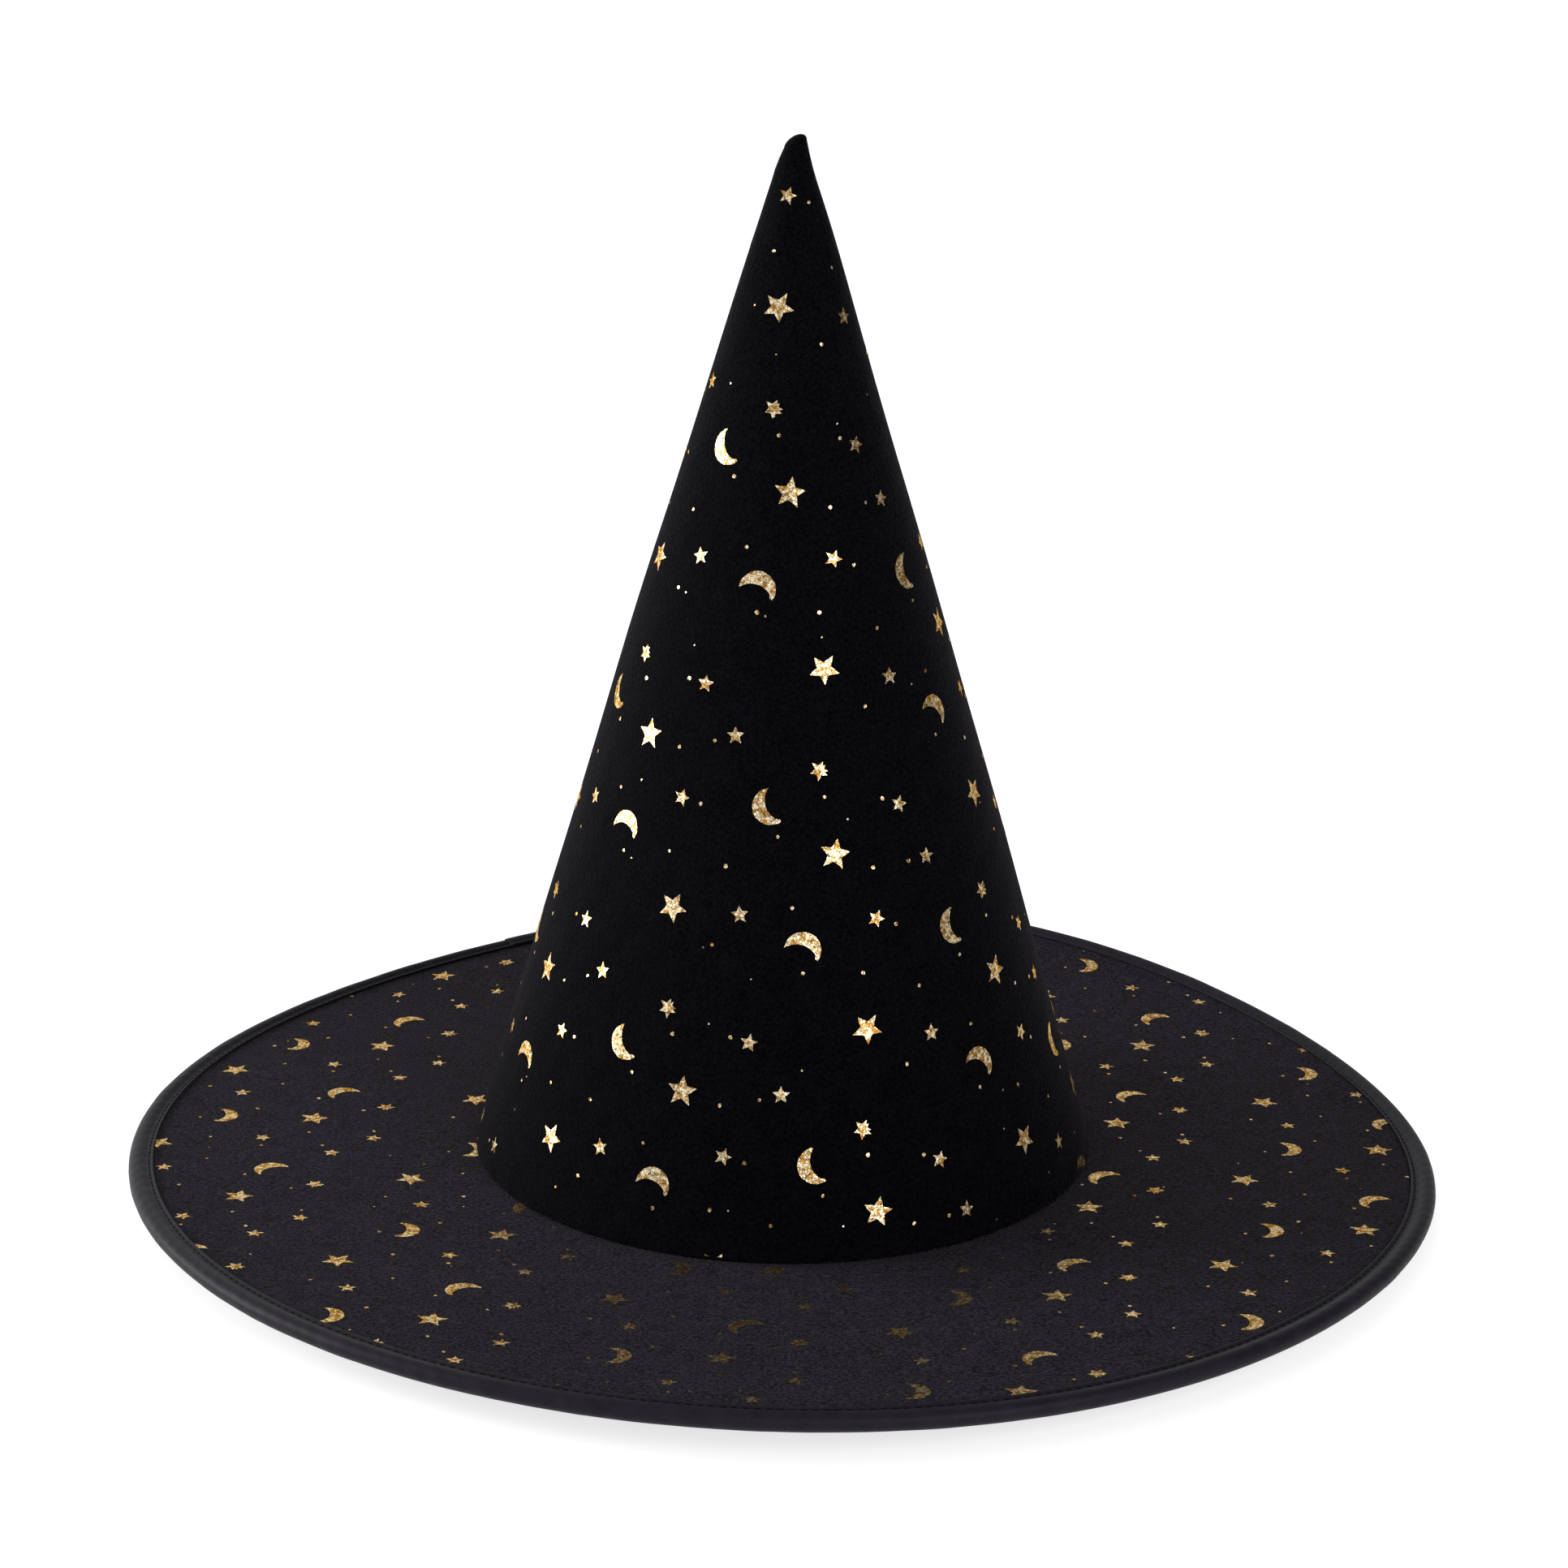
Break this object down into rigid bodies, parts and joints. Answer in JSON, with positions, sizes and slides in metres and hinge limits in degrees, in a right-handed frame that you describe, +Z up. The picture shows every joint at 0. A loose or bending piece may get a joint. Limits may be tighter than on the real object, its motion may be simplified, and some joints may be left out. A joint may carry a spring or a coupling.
{
  "type": "witch hat",
  "caption": "Tall pointed costume hat in black velveteen printed with gold foil stars and crescents, on a round wired brim with a bound edge.",
  "frame": {"origin": "centre of the brim's outline, on the surface the hat stands on", "axes": "+Z up to the hat's point, +Y towards the wearer's back, +X to the right when the hat is seen from its front"},
  "size_m": [0.4, 0.4, 0.3148],
  "materials": {
    "velveteen": "black cotton velveteen, short pile with a soft sheen",
    "gold_foil": "thin champagne gold foil bonded to the pile, slightly crackled",
    "binding_tape": "black woven bias tape, smooth with a low satin sheen",
    "plain_cover": "black plain-weave polyester",
    "sweatband_tape": "black ribbed grosgrain tape",
    "interlining": "stiff off-white non-woven sheet",
    "brim_felt": "stiff grey needled felt",
    "thread": "black polyester sewing thread",
    "hat_wire": "bright drawn steel wire",
    "ferrule": "crimped steel sleeve"
  },
  "bodies": {
    "root": {"crown_velvet": "velveteen", "crown_interlining": "interlining", "crown_seam_allowances": "velveteen", "crown_seam_stitches": "thread", "tip_wad": "velveteen", "brim_top_velvet": "velveteen", "brim_turned_tabs": "velveteen", "brim_stiffener": "brim_felt", "brim_under_cover": "plain_cover", "brim_wire": "hat_wire", "wire_ferrule": "ferrule", "edge_binding": "binding_tape", "binding_lap": "binding_tape", "binding_topstitch": "thread", "binding_understitch": "thread", "brim_seam_thread": "thread", "sweatband": "sweatband_tape", "sweatband_lap": "sweatband_tape", "sweatband_thread": "thread"}
  },
  "joints": []
}
